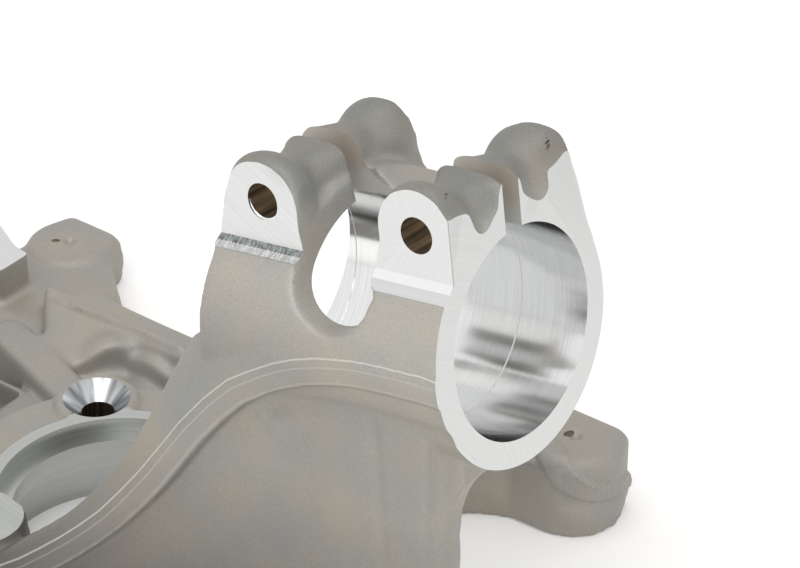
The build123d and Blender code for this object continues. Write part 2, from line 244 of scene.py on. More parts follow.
# The machined pad, in millimetres of the row's frame
pad = {
    "corners": ((-93.0, -140.0), (-85.9, -125.8), (-84.8, -118.2), (-70.4, -118.2), (-66.0, -132.0),
                (-76.0, -146.0)),
    "height": 31.0,
    "hole": (-76.0, -134.0),
    "holeR": 4.25,
    "holeDepth": 18.0,
}
ears = {
    "faceX": -0.1275,
    "faceHalf": 0.012,
    "faceFoot": 0.0005,
    "faceTop": (0.0155, 0.0265),
    "backX": -0.12,
    "holeZ": 0.009,
    "holeR": 0.0065,
    "holeDepth": 0.024,
    "holeY": (-0.126, 0.098),
}
joints = {
    "ball": (-0.020, 0.020),    # x and z
    "ballFrom": -0.129,
    "ballTo": -0.095,
    "ballR": 0.009,
    "steer": (0.121, 0.034),
    "steerFrom": -0.051,
    "steerTo": -0.025,
    "steerR": 0.0075,
    "sensorAngle": 292.0,
    "sensorZ": 0.012,
    "sensorR": 0.007,
    "sensorFrom": 0.036,
    "sensorTo": 0.08,
}


def windowCutter():
    radius = clamp["windowR"]
    start, rise = stock["window"]
    middle = clamp["windowV"] - clamp["windowR"] + radius
    w = clamp["windowW"]
    foot = cylinder(acrossClamp(middle, w), radius, start, 0)
    above = block(clampPlace, (start, middle, w - radius), (0, middle + rise, w + radius))
    return boolean(foot, above, "UNION")


def faceOutline():    # the near face's whole outline, closed round the clamp's wall
    faceTop = outlines["faceTop"]
    radius = clamp["outerR"] * 1000
    u, v = faceTop[-1]
    first = degrees(atan2(v, u))
    u, v = faceTop[0]
    last = degrees(atan2(v, u)) - 360
    steps = 48
    return [*faceTop, *(polar(radius, first + (last - first) * step / steps) for step in range(1, steps))]


def boltPlaces():
    places = []
    for angle, top in zip(hub["boltAngles"], hub["seatHeights"]):
        x, y = polar(hub["boltCircle"], angle)
        places.append((Matrix.Translation((x, y, 0)), top))
    return places


def earPlace(y):    # along X through a caliper bolt's hole
    return Matrix.Translation((0, y, ears["holeZ"])) @ acrossTurn


def jointPlace(name):    # along Y through a joint's boss
    x, z = joints[name]
    return Matrix.Translation((x, 0, z)) @ alongTurn


def sensorPlace():
    turn = Matrix.Rotation(radians(joints["sensorAngle"]), 4, "Z")
    return Matrix.Translation((0, 0, joints["sensorZ"])) @ turn @ acrossTurn


def clampStock():
    low, high = stock["near"]
    bore = cylinder(clampPlace, clamp["boreR"] + stock["round"], stock["boreFrom"], high)
    fills = [boolean(bore, windowCutter(), "DIFFERENCE")]
    fills.append(plate(clampPlace, faceOutline(), low, high))
    fills.append(plate(acrossTurn, [(-z, y) for y, z in blends["gusset"]], *blends["gussetX"]))
    fills.append(plate(rowPlace, blends["earFoot"], *blends["earFootZ"]))
    over, under = stock["spot"]
    for w, spot, lips in zip(clamp["pinchW"], outlines["spots"], outlines["lips"]):
        fills.append(acrossPlate(lips, -stock["lipHalf"], stock["lipHalf"]))
        fills.append(cylinder(acrossClamp(clamp["pinchV"], w), clamp["threadR"] + stock["round"],
                              *stock["pinch"]))
        fills.append(acrossPlate(spot, clamp["spotU"] - over, clamp["spotU"] + under))
    return fills


def hubStock():
    high = hub["landZ"] + stock["land"]
    outboard = stock["outboard"]
    fills = [cylinder(rowPlace, hub["seatR"] + stock["seat"], -outboard, high),
             cylinder(rowPlace, hub["landR"] + stock["round"], outboard, high),
             cylinder(rowPlace, hub["ringR"] - stock["ring"], -outboard, outboard)]
    for place, top in boltPlaces():
        if top > hub["landZ"]:
            narrower, taller = stock["boss"]
            fills.append(cylinder(place, hub["bossR"] - narrower, stock["foot"], top + taller))
        else:
            wider, taller = stock["cone"]
            fills.append(cylinder(place, hub["coneR"] + wider, stock["foot"], top + taller))
    return fills


def bracketStock():    # on the machined pad and the caliper ears
    foot, taller = stock["pad"]
    fills = [plate(rowPlace, pad["corners"], foot, pad["height"] / 1000 + taller)]
    front = ears["faceX"] - stock["ear"]
    half = ears["faceHalf"]
    for y, top in zip(ears["holeY"], ears["faceTop"]):
        fills.append(cylinder(earPlace(y), ears["holeR"] + stock["round"], front,
                              ears["faceX"] + ears["holeDepth"]))
        fills.append(block(rowPlace, (front, y - half, ears["faceFoot"]), (ears["backX"], y + half, top)))
    return fills


def uncutCasting():    # a copy of the CAD mesh, filled where it is machined
    body = node.copy()
    body.data = node.data.copy()
    bpy.context.scene.collection.objects.link(body)
    body.parent = None
    body.hide_render = False
    bpy.ops.object.select_all(action="DESELECT")
    body.select_set(True)
    bpy.context.view_layer.objects.active = body
    bpy.ops.object.mode_set(mode="EDIT")
    bpy.ops.mesh.select_all(action="SELECT")
    bpy.ops.mesh.remove_doubles(threshold=0.000002)
    bpy.ops.object.mode_set(mode="OBJECT")
    return join([body, *clampStock(), *hubStock(), *bracketStock()])


# The parting line down the neck's side, in millimetres of the row's frame
parting = {
    "line": (
        (40.8, 160.0, 164.9), (40.8, 157.2, 164.3), (41.3, 151.9, 163.9), (41.3, 146.1, 162.8),
        (41.4, 138.9, 161.5), (41.5, 131.6, 159.9), (42.0, 124.6, 158.0), (42.2, 117.7, 155.7),
        (42.4, 110.2, 152.2), (42.7, 103.0, 148.0), (43.4, 95.7, 142.9), (44.0, 88.2, 137.2),
        (45.2, 80.1, 128.0), (46.8, 72.2, 117.3), (48.8, 66.0, 107.3), (50.8, 59.6, 97.1),
        (52.8, 53.1, 87.8),
        (54.5, 46.3, 78.8), (56.3, 39.5, 71.4), (58.1, 32.7, 64.6), (59.3, 25.2, 57.7), (60.4, 17.5, 50.9),
        (61.0, 8.0, 43.5), (61.0, 0.0, 38.0)),
    "step": 0.0004,
    "limit": 0.012,    # heights farther from the line don't matter
    "sideX": 0.02,    # the line is on the side beyond this
    "rise": 0.0006,    # how far the band below the line stands out
    "bandTop": 0.0007,    # the band's upper edge, above the line
    "bandEdge": -0.0073,    # its lower edge, with the crease beside it
    "crease": -0.0083,
    "creaseFoot": 0.0004,
    "creaseHalf": 0.0008,
    "lineHalf": 0.0004,    # half the width of the line left by the mould's halves
    "secondLine": -0.0025,    # a fainter line below it
}


def partingHeights(points):    # how far each point lies above or below the parting line, in metres
    samples = []
    for start, end in zip(parting["line"], parting["line"][1:]):
        a, b = Vector(start) / 1000, Vector(end) / 1000
        rise = Vector((0, a.z - b.z, b.y - a.y)).normalized()
        if rise.z < 0:
            rise.negate()
        steps = max(2, round((b - a).length / parting["step"]))
        samples += [(a.lerp(b, step / steps), rise) for step in range(steps)]
    tree = KDTree(len(samples))
    for index, (point, rise) in enumerate(samples):
        tree.insert(point, index)
    tree.balance()
    limit = parting["limit"]
    heights = []
    for spot in points:
        if spot[0] < parting["sideX"]:
            heights.append(-limit)
            continue
        point, index, far = tree.find(spot)
        height = (Vector(spot) - point).dot(samples[index][1])
        heights.append(height if far < limit else (limit if height > 0 else -limit))
    return heights


def markParting(body):
    layer = body.data.attributes.new("parting", "FLOAT", "POINT")
    layer.data.foreach_set("value", partingHeights(positions(body)))


# How the casting's skin departs from the solid, in millimetres
shaping = {
    # Where it swells or sinks: a centre in u, v and w, the reach and the move
    "clampSwells": (
        ((25.0, 45.0, -7.5), 10.5, (2.0, 1.5, 0.4)),
        ((25.0, 45.0, -59.5), 11.0, (1.1, 0.7, 0.3)),
        ((-24.0, 49.0, -63.2), 13.0, (0.0, -0.9, 0.0)),
        ((-12.0, 36.0, 0.0), 5.5, (0.0, -1.3, 0.0)),
        ((12.0, 36.0, 0.0), 6.5, (0.6, -1.8, 0.0)),
        ((20.5, 43.5, 1.5), 6.5, (0.0, -2.4, 0.0)),
        ((27.0, 43.5, -4.5), 6.5, (1.6, 0.6, 0.4)),
        ((17.5, 37.0, 0.0), 4.5, (1.5, 0.0, 0.0)),
        ((-23.0, 44.0, 0.5), 6.5, (0.0, -2.2, 0.0))),
    # The same for the lower arm and the rib's foot, in x, y and z
    "armSwells": (
        ((-66.0, -64.0, 20.0), 11.0, (0.0, 0.0, 3.0)),
        ((-68.0, -48.0, 20.0), 10.0, (0.0, 0.0, 2.5)),
        ((-91.5, 75.0, 0.0), 13.0, (-1.6, -1.1, 0.0))),
    # Hollows of the lower arm that flow into each other: a centre and a reach
    "softHollows": (((-70.0, -58.0, 22.0), 32.0), ((-70.0, -98.0, 20.0), 18.0)),
    "softPasses": 30,
    "ringRim": 0.3,    # outside the ring by this much, nothing reaches below the lowest height
    "lowest": 0.05,
}
# Raised or sunk marks, in millimetres: the height, how soft the sides are, then the points of a line, each
# with half the mark's width there
reliefs = {
    "armRidge": (1.2, 1.0,
        ((-74.8, -94.4, 25.8, 2.4), (-75.3, -77.8, 27.3, 2.4), (-76.6, -60.3, 27.5, 2.4),
         (-77.1, -39.7, 27.5, 2.4))),
    "earBand": (1.1, 0.3,
        ((-104.5, 93.0, 30.0, 5.0), (-101.3, 99.5, 27.5, 5.2), (-100.6, 104.5, 23.5, 5.2),
         (-102.3, 108.2, 20.8, 4.6), (-106.0, 111.8, 18.0, 3.8), (-110.0, 113.6, 16.9, 3.5),
         (-115.0, 114.3, 15.8, 3.2), (-119.9, 113.7, 14.2, 3.0), (-125.0, 112.6, 12.6, 3.0))),
    "earBandEdge": (0.6, 0.6,
        ((-108.0, 94.6, 30.0, 1.5), (-103.7, 101.7, 29.9, 1.5), (-101.6, 107.0, 27.2, 1.5),
         (-103.8, 110.2, 23.0, 1.4), (-107.5, 112.8, 19.8, 1.3), (-112.0, 114.2, 18.5, 1.2))),
    "valleyBelowBand": (-1.0, 1.0,
        ((38.6, 98.3, 128.1, 5.0), (38.2, 102.7, 131.5, 5.0), (38.3, 112.4, 136.1, 5.0),
         (39.1, 123.4, 140.1, 5.0), (39.3, 129.7, 141.6, 5.0), (39.2, 143.8, 143.9, 5.0),
         (38.9, 158.4, 145.7, 5.0))),
    "webFold": (-0.6, 1.0,
        ((37.9, 133.4, 138.2, 3.5), (37.9, 134.4, 130.3, 3.5), (37.9, 135.0, 120.5, 3.5),
         (37.9, 135.9, 107.3, 3.5), (37.9, 136.9, 93.9, 3.5))),
}
skin = {
    "voxel": 0.0011,    # size of the remeshed skin
    "smooth": 7,    # passes that round the cast edges
    "triangles": 150000,
    "smoothAngle": 32,    # degrees; edges sharper than this stay sharp
}


def blendHollows(body):
    points = positions(body) * 1000
    weights = np.zeros(len(points))
    for centre, reach in shaping["softHollows"]:
        away = np.linalg.norm(points - centre, axis=1) / reach
        weights = np.maximum(weights, np.clip(1.6 * (1 - away), 0, 1))
    group = body.vertex_groups.new(name="hollows")
    for index in np.nonzero(weights > 0.02)[0]:
        group.add([int(index)], float(weights[index]), "REPLACE")
    blend = body.modifiers.new("blend", "SMOOTH")
    blend.factor = 0.5
    blend.iterations = shaping["softPasses"]
    blend.vertex_group = group.name
    bpy.ops.object.modifier_apply(modifier=blend.name)


def swell(points, swells, turn):    # the moves that soft swells give to points in millimetres
    shift = np.zeros(points.shape)
    for centre, reach, push in swells:
        away = np.linalg.norm(points - centre, axis=1) / reach
        shift += (np.clip(1 - away * away, 0, 1) ** 2)[:, None] * (turn @ np.array(push) / 1000)
    return shift


def relief(points, mark):    # how far a mark lifts each point, in metres
    height, softness, line = mark
    lift = np.zeros(len(points))
    for start, end in zip(line, line[1:]):
        a, b = np.array(start[:3]) / 1000, np.array(end[:3]) / 1000
        along = np.clip((points - a) @ (b - a) / ((b - a) @ (b - a)), 0, 1)
        half = (start[3] + along * (end[3] - start[3])) / 1000
        away = np.linalg.norm(points - a - along[:, None] * (b - a), axis=1) / half
        lift = np.maximum(lift, np.clip((1 - away) / softness, 0, 1))
    return lift * lift * (3 - 2 * lift) * height / 1000


def shapeMarks(body):    # swells and sinks the skin, and raises the parting bands
    points = positions(body)
    normals = np.empty(points.size)
    body.data.vertices.foreach_get("normal", normals)
    normals = normals.reshape(-1, 3)
    turn = np.array(clampPlace.to_3x3())
    local = (points - np.array(clamp["origin"])) @ turn * 1000
    shift = swell(local, shaping["clampSwells"], turn)
    shift += swell(points * 1000, shaping["armSwells"], np.identity(3))
    for mark in reliefs.values():
        shift += relief(points, mark)[:, None] * normals
    heights = np.array(partingHeights(points))
    low, edge = parting["crease"] - parting["creaseFoot"], parting["bandEdge"]
    band = np.clip((heights - low) / (edge - low), 0, 1) * np.clip(1 - heights / parting["bandTop"], 0, 1)
    shift[:, 0] += band * parting["rise"]
    points += shift
    outside = np.hypot(points[:, 0], points[:, 1]) > hub["ringR"] + shaping["ringRim"] / 1000
    points[outside, 2] = np.maximum(points[outside, 2], shaping["lowest"] / 1000)
    move(body, points)


def castSkin(body):    # rounds the filled casting the way its mould does
    remesh = body.modifiers.new("skin", "REMESH")
    remesh.mode = "VOXEL"
    remesh.voxel_size = skin["voxel"]
    bpy.context.view_layer.objects.active = body
    bpy.ops.object.modifier_apply(modifier=remesh.name)
    soften = body.modifiers.new("soften", "SMOOTH")
    soften.factor = 0.5
    soften.iterations = skin["smooth"]
    bpy.ops.object.modifier_apply(modifier=soften.name)
    blendHollows(body)
    shapeMarks(body)
    count = sum(len(face.vertices) - 2 for face in body.data.polygons)
    fewer = body.modifiers.new("fewer", "DECIMATE")
    fewer.ratio = min(1.0, skin["triangles"] / count)
    bpy.ops.object.modifier_apply(modifier=fewer.name)
    print("skin", count, "->", len(body.data.polygons), flush=True)
    return body


def paint(piece, material):
    piece.data.materials.clear()
    piece.data.materials.append(material)
    return piece


# Where the cutters end, and how much larger than the metal they are, in metres
cuts = {
    "past": 0.01,
    "bore": (-0.11, 0.02),    # along w
    "boreSides": 192,
    "near": ((-0.07, -0.06, 0), (0.07, 0.07, 0.03)),
    "farEnd": -0.125,
    "behind": ((-0.06, 0.0, 0.08), (0.07, 0.23)),    # in x, y and z of the row, up to the far face
    "slotTop": 0.07,
    "spot": (-45.0, 60.0),    # how far a spotface's cutter reaches in u and v, in millimetres
    "pinchFrom": -0.05,
    "landTop": 0.045,
    "land": 0.003,
    "boss": (0.02, 0.06),
    "bossLess": 0.0006,    # how much wider than its boss the land's cutter leaves free
    "bossMore": 0.0008,    # how much wider than the boss its seat's cutter is
    "bossTop": 0.03,
    "recessTop": 0.06,
    "lipTop": 0.05,
    "ring": 0.0025,
    "coneMore": 0.001,
    "coneTop": 0.0006,
    "padX": (-0.10, -0.06),
    "padY": (-0.16, -0.11),
    "earFace": (0.02, -0.14, -0.005, 0.04),    # half the width, then x, and z from and to
    "earHole": -0.15,
}
# Small holes in the casting: x, y and z in millimetres, and the size
pits = {
    "places": ((22.6, 146.2, 207.9, 0.9), (23.9, 147.0, 207.9, 1.0), (24.8, 147.8, 207.3, 0.8),
               (25.1, 148.9, 206.5, 1.3), (25.3, 149.9, 205.7, 0.9), (-20.9, 146.9, 204.3, 0.8),
               (-20.0, 147.7, 203.8, 1.0), (-19.2, 148.6, 203.0, 1.2), (-18.7, 149.5, 202.3, 0.8),
               (-114.5, 95.7, 29.9, 2.6), (-110.6, -130.0, 19.2, 2.2)),
    "large": 2.0,
    "largeShape": (0.5, 0.85, 0.5, 1),
    "smallShape": (0.35, 1.1, 0.5, 1),
    "tilt": -0.5,
    "turn": 1.7,    # times the size, so that no two lie alike
}


def spotCutter(w, facets, painted):    # a flat spotface over two facets
    place = clampPlace @ Matrix.Translation((0, 0, w))
    u = clamp["spotU"] * 1000
    v0, (u1, v1), (u2, v2) = facets
    left, high = cuts["spot"]
    outline = ((u, v0), (u1, v1), (u2, v2), (left, v2), (left, high), (u, high))
    cutter = plate(place, outline, -clamp["spotHalf"], clamp["spotHalf"])
    for material in painted:
        cutter.data.materials.append(material)
    across = clampPlace.to_3x3() @ Vector((1, 0, 0))
    for face in cutter.data.polygons:
        facing = face.normal.dot(across)
        face.material_index = 0 if facing > 0.9 else 1 if facing > 0.68 else 2
    return cutter


def clampCuts(materials):
    low, high = cuts["bore"]
    made = [paint(block(clampPlace, *cuts["near"]), materials["faced"])]
    rounds = (
        (clamp["boreR"], low, high, "bored"),
        (clamp["reliefR"], clamp["reliefTo"], clamp["reliefFrom"], "bored"),
        # The groove's bright line is a painted highlight
        (clamp["grooveR"], clamp["grooveTo"], clamp["grooveFrom"], "paintedGrooveHighlight"))
    for radius, start, end, finish in rounds:
        cutter = cylinder(clampPlace, radius, start, end, sides=cuts["boreSides"])
        made.append(paint(cutter, materials[finish]))
    farEnd = cylinder(clampPlace, clamp["farCutR"], cuts["farEnd"], clamp["farCutFrom"])
    start, (x, z) = cuts["behind"]
    behind = block(rowPlace, start, (x, clamp["farFaceY"], z))
    made.append(paint(boolean(farEnd, behind, "INTERSECT"), materials["faced"]))
    half = clamp["slotHalf"]
    slot = block(clampPlace, (-half, clamp["slotFoot"], low), (half, cuts["slotTop"], high))
    made.append(paint(slot, materials["sawn"]))
    start = cuts["pinchFrom"]
    for w, facets, names in zip(clamp["pinchW"], outlines["facets"], spotFinishes):
        made.append(spotCutter(w, facets, [materials[name] for name in names]))
        hole = cylinder(acrossClamp(clamp["pinchV"], w), clamp["pinchR"], start, 0, sides=64)
        made.append(paint(hole, materials["drilled"]))
    scarPlace = acrossClamp(clamp["pinchV"] - clamp["scarDrop"], clamp["pinchW"][1])
    scar = cylinder(scarPlace, clamp["pinchR"], start, clamp["spotU"] + clamp["scarDepth"], sides=64)
    made.append(paint(scar, materials["bevelled"]))
    for w in clamp["pinchW"]:
        thread = cylinder(acrossClamp(clamp["pinchV"], w), clamp["threadR"], 0, half + clamp["threadDepth"],
                          sides=64)
        made.append(paint(thread, materials["threaded"]))
    return made


def boltCuts(materials):    # the bearing bolts' holes, with a flat seat or a conical one
    made = []
    past = cuts["past"]
    for number, (place, top) in enumerate(boltPlaces()):
        hole = cylinder(place, hub["boltR"], -past, top + past, sides=64)
        made.append(paint(hole, materials["threaded"]))
        if top > hub["landZ"]:
            seat = cylinder(place, hub["bossR"] + cuts["bossMore"], top, top + cuts["bossTop"])
            made.append(paint(seat, materials["turned"]))
            continue
        depth = hub["coneR"] - hub["boltR"]
        more, over = cuts["coneMore"], cuts["coneTop"]
        seat = cylinder(place, hub["boltR"] - more, top - depth - more, top + over,
                        topRadius=hub["coneR"] + over, sides=64)
        made.append(paint(seat, materials["cone" + str(number)]))
    return made


def hubCuts(materials):
    past = cuts["past"]
    land = cylinder(rowPlace, hub["landR"] + cuts["land"], hub["landZ"], cuts["landTop"])
    for place, top in boltPlaces():
        if top > hub["landZ"]:
            boss = cylinder(place, hub["bossR"] + cuts["bossLess"], *cuts["boss"])
            boolean(land, boss, "DIFFERENCE")
    made = [land, cylinder(rowPlace, hub["recessR"], hub["lipTop"], cuts["recessTop"]),
            cylinder(rowPlace, hub["lipR"], -past, cuts["lipTop"]),
            cylinder(rowPlace, hub["seatR"], -past, hub["seatZ"]),
            cylinder(rowPlace, hub["ringR"] + cuts["ring"], -past, 0)]
    return [paint(cutter, materials["turned"]) for cutter in made]


def bracketCuts(materials):    # the machined pad, then the caliper ears
    past = cuts["past"]
    top = pad["height"] / 1000
    (left, right), (low, high) = cuts["padX"], cuts["padY"]
    made = [paint(block(rowPlace, (left, low, top), (right, high, top + past)), materials["faced"])]
    x, y = pad["hole"]
    hole = cylinder(Matrix.Translation((x / 1000, y / 1000, 0)), pad["holeR"] / 1000,
                    top - pad["holeDepth"] / 1000, top + past, sides=48)
    made.append(paint(hole, materials["threaded"]))
    half, x, low, high = cuts["earFace"]
    for y in ears["holeY"]:
        face = block(rowPlace, (x, y - half, low), (ears["faceX"], y + half, high))
        made.append(paint(face, materials["faced"]))
        hole = cylinder(earPlace(y), ears["holeR"], cuts["earHole"], ears["faceX"] + ears["holeDepth"],
                        sides=48)
        made.append(paint(hole, materials["threaded"]))
    return made


def pitCuts(materials):
    made = []
    for *point, size in pits["places"]:
        bpy.ops.object.select_all(action="DESELECT")
        bpy.ops.mesh.primitive_uv_sphere_add(segments=24, ring_count=12, radius=0.001)
        shape = Matrix.Diagonal(pits["largeShape"] if size > pits["large"] else pits["smallShape"])
        turn = Matrix.Rotation(pits["tilt"], 4, "X") @ Matrix.Rotation(size * pits["turn"], 4, "Z")
        spot = Matrix.Translation(Vector(point) / 1000) @ turn @ shape
        pit = lay(bpy.context.object, spot @ Matrix.Scale(size, 4))
        made.append(paint(pit, materials["pitted"]))
    return made


def jointCuts(materials):
    past = cuts["past"]
    made = []
    for name in ("ball", "steer"):
        made.append(cylinder(jointPlace(name), joints[name + "R"], joints[name + "From"] - past,
                             joints[name + "To"] + past, sides=64))
    made.append(cylinder(sensorPlace(), joints["sensorR"], joints["sensorFrom"], joints["sensorTo"],
                         sides=64))
    return [paint(cutter, materials["turned"]) for cutter in made]


def machine(body, materials):    # cuts every machined face, bore and hole
    made = [*clampCuts(materials), *hubCuts(materials), *boltCuts(materials), *bracketCuts(materials),
            *pitCuts(materials), *jointCuts(materials)]
    for cutter in made:
        boolean(body, cutter, "DIFFERENCE")
    triangles = sum(len(face.vertices) - 2 for face in body.data.polygons)
    print("cut", len(made), "triangles", triangles, flush=True)
    return body


def newMaterial(name, looks):
    material = bpy.data.materials.new(name)
    material.use_nodes = True
    tree = material.node_tree
    shader = tree.nodes["Principled BSDF"]
    shader.inputs["Metallic"].default_value = looks.get("metallic", 1.0)
    shader.inputs["Roughness"].default_value = looks["roughness"]
    return material, tree, shader


def link(tree, source, target):
    tree.links.new(source, target)


def math(tree, operation, first, second=None, third=None, clamped=False):
    step = tree.nodes.new("ShaderNodeMath")
    step.operation = operation
    step.use_clamp = clamped
    for socket, value in zip(step.inputs, (first, second, third)):
        if value is None:
            continue
        if isinstance(value, (int, float)):
            socket.default_value = value
        else:
            link(tree, value, socket)
    return step.outputs["Value"]


def times(tree, first, second):
    return math(tree, "MULTIPLY", first, second)


def slope(tree, source, factor, offset):    # a straight rise, held between 0 and 1
    return math(tree, "MULTIPLY_ADD", source, factor, offset, clamped=True)


def distance(tree, first, second):
    return math(tree, "SQRT", math(tree, "ADD", times(tree, first, first), times(tree, second, second)))


def peak(tree, source, centre, half):    # 1 at the centre, falling to 0 on both sides
    away = math(tree, "ABSOLUTE", math(tree, "SUBTRACT", source, centre))
    return slope(tree, away, -1 / half, 1.0)


def noise(tree, vector, scale, detail=3.0, roughness=0.5):
    texture = tree.nodes.new("ShaderNodeTexNoise")
    texture.inputs["Scale"].default_value = scale
    texture.inputs["Detail"].default_value = detail
    texture.inputs["Roughness"].default_value = roughness
    link(tree, vector, texture.inputs["Vector"])
    return texture.outputs["Fac"]


def ramp(tree, source, stops):
    colors = tree.nodes.new("ShaderNodeValToRGB")
    elements = colors.color_ramp.elements
    for index, (position, color) in enumerate(stops):
        element = elements[index] if index < 2 else elements.new(position)
        element.position = position
        element.color = (*color, 1)
    link(tree, source, colors.inputs["Fac"])
    return colors.outputs["Color"]


def mixColor(tree, factor, first, second, blend="MIX"):
    mix = tree.nodes.new("ShaderNodeMix")
    mix.data_type = "RGBA"
    mix.blend_type = blend
    for name, value in (("Factor", factor), ("A", first), ("B", second)):
        socket = [each for each in mix.inputs if each.name == name and each.enabled][0]
        if isinstance(value, tuple):
            socket.default_value = (*value, 1)
        elif isinstance(value, float):
            socket.default_value = value
        else:
            link(tree, value, socket)
    return [each for each in mix.outputs if each.enabled][0]


def bump(tree, height, depth, strength, before=None):
    relieved = tree.nodes.new("ShaderNodeBump")
    relieved.inputs["Distance"].default_value = depth
    relieved.inputs["Strength"].default_value = strength
    link(tree, height, relieved.inputs["Height"])
    if before:
        link(tree, before, relieved.inputs["Normal"])
    return relieved.outputs["Normal"]


def objectCoords(tree):
    return tree.nodes.new("ShaderNodeTexCoord").outputs["Object"]


def mapped(tree, vector, location=(0, 0, 0), rotation=(0, 0, 0)):
    mapping = tree.nodes.new("ShaderNodeMapping")
    mapping.inputs["Location"].default_value = location
    mapping.inputs["Rotation"].default_value = rotation
    link(tree, vector, mapping.inputs["Vector"])
    return mapping.outputs["Vector"]


def clampCoords(tree):    # object coordinates turned into u, v and w
    inverse = clampPlace.inverted()
    return mapped(tree, objectCoords(tree), inverse.translation, inverse.to_euler())


def split(tree, vector, axes="XYZ"):
    parts = tree.nodes.new("ShaderNodeSeparateXYZ")
    link(tree, vector, parts.inputs["Vector"])
    return [parts.outputs[axis] for axis in axes]


def combine(tree, x, y, z=0):
    whole = tree.nodes.new("ShaderNodeCombineXYZ")
    for name, value in (("X", x), ("Y", y), ("Z", z)):
        if isinstance(value, (int, float)):
            whole.inputs[name].default_value = value
        else:
            link(tree, value, whole.inputs[name])
    return whole.outputs["Vector"]


# The casting's skin: stops are a place from 0 to 1 and a colour, in the order in which they are added
castLooks = {
    "tintScale": 45,
    "tint": ((0.30, (0.355, 0.354, 0.342)), (0.70, (0.425, 0.385, 0.33)), (0.50, (0.39, 0.374, 0.342))),
    "grainScale": 2600,
    "grain": ((0.30, (0.70, 0.72, 0.75)), (0.70, (1.0, 0.97, 0.92)), (0.50, (0.87, 0.87, 0.86))),
    "grainShare": 0.85,
    "side": (80.0, -2.0),    # 1 beyond x = 37 mm, 0 below 25 mm
    "perHeight": 5.0,    # the side's stops are at z times this
    # Painted shade low on the neck's side and painted light near its top, multiplied into the side's colour
    "low": ((0.25, (0.48, 0.47, 0.46)), (0.55, (0.93, 0.93, 0.92)), (0.74, (0.95, 0.95, 0.94)),
            (0.84, (1.18, 1.19, 1.19))),
    "perCrown": 20.0,    # and the clamp's at v times this
    # Painted shade: darker over the clamp's top, above v = 35 mm
    "crown": ((0.70, (1.0, 1.0, 1.0)), (0.90, (0.66, 0.68, 0.69))),
    "secondLine": 0.30,    # how strong the second parting line is beside the first
    "line": (0.75, (0.74, 0.73, 0.68)),    # how much of the colour each mark takes, and its colour
    # Painted highlight along the band's lower edge
    "edge": (0.20, (0.70, 0.68, 0.62)),
    # Painted shade in the crease below the band
    "crease": (0.42, (0.18, 0.17, 0.16)),
    "fineBump": (1900, 0.00012, 0.7),    # scale, depth in metres and strength
    "wideBump": (170, 0.00035, 0.5),
    "lineBump": (0.0003, 0.9),
    "metallic": 0.45,
    "roughness": 0.58,
}
# The slot's faces: grey below, a painted brown reflection above it near the front, and like the skin
# farther in
sawnLooks = {
    "noiseScale": 300,
    "ragged": 0.006,    # how far the border between grey and brown wanders, in metres
    "perHeight": 20.0,    # the border's stops are at v times this
    "border": ((0.74, (0.42, 0.41, 0.39)), (0.82, (0.39, 0.35, 0.30))),
    "pitch": 0.0525,    # from one pinch bolt to the next
    "inward": (160.0, -1.1),    # a rise's factor and offset
    "upward": (300.0, -12.0),
    "inner": (0.50, 0.47, 0.43),
    "metallic": 0.25,
    "roughness": 0.55,
}
# The machined faces, which are metal unless they say otherwise. Streaks have a depth in metres and a
# contrast, which says how much darker or brighter than the colour they are.
finishes = {
    "faced": {"color": (0.66, 0.67, 0.665), "roughness": 0.34, "depth": 0.00001, "contrast": 0.03},
    "bored": {"color": (0.79, 0.795, 0.795), "roughness": 0.13, "depth": 0.000006, "contrast": 0.05},
    # Painted highlight: the bore's groove drawn as a bright white line, not metal
    "paintedGrooveHighlight": {"color": (0.85, 0.85, 0.84), "roughness": 0.5, "metallic": 0.0},
    "bevelled": {"color": (0.88, 0.88, 0.89), "roughness": 0.22},
    "spotNear": {"color": (0.68, 0.69, 0.69), "roughness": 0.33, "depth": 0.000015, "contrast": 0.04},
    "spotFar": {"color": (0.68, 0.69, 0.69), "roughness": 0.33, "depth": 0.00002, "contrast": 0.05},
    "turned": {"color": (0.45, 0.46, 0.445), "roughness": 0.32, "depth": 0.00001, "contrast": 0.06},
    "threaded": {"color": (0.24, 0.19, 0.14), "roughness": 0.40, "depth": 0.0002, "contrast": 0.35},
    "drilled": {"color": (0.58, 0.50, 0.40), "roughness": 0.36, "depth": 0.00003, "contrast": 0.55},
    "torn": {"color": (0.22, 0.24, 0.235), "roughness": 0.32, "depth": 0.0006, "contrast": 0.75},
    "chipped": {"color": (0.50, 0.50, 0.49), "roughness": 0.30, "depth": 0.0004, "contrast": 0.35},
    "pitted": {"color": (0.16, 0.13, 0.10), "roughness": 0.8, "metallic": 0.0},
    # Painted reflection: strong light and dark rays on the conical seats
    "cone": {"color": (0.38, 0.39, 0.40), "roughness": 0.22, "depth": 0.00001, "contrast": 0.75},
}
# The thin dark edge of the near face beside its spotface
facedEdge = {
    "inset": 0.0002,
    "half": 0.0003,
    "upward": (2000.0, -48.0),
    "share": 0.7,
    "color": (0.16, 0.16, 0.16),
}
# How often streaks repeat: in each metre, or in each radian where they turn
streakScales = {
    "rings": 1500,
    "boreTurn": 1.5,
    "arcCentre": (0.06, 0.05, 0),    # from the clamp's axis back to the middle of the near face's arcs
    "arcs": 12,
    "fanTurn": 14,
    "fan": 90,
    "strokeLean": 1.5,
    "strokes": (700, 20),
    "threadPitch": 0.0015,    # metres
    "drilled": (900, 30),
    "coneTurn": 2.6,
    "cone": 60,
    "torn": (900, 500),
}


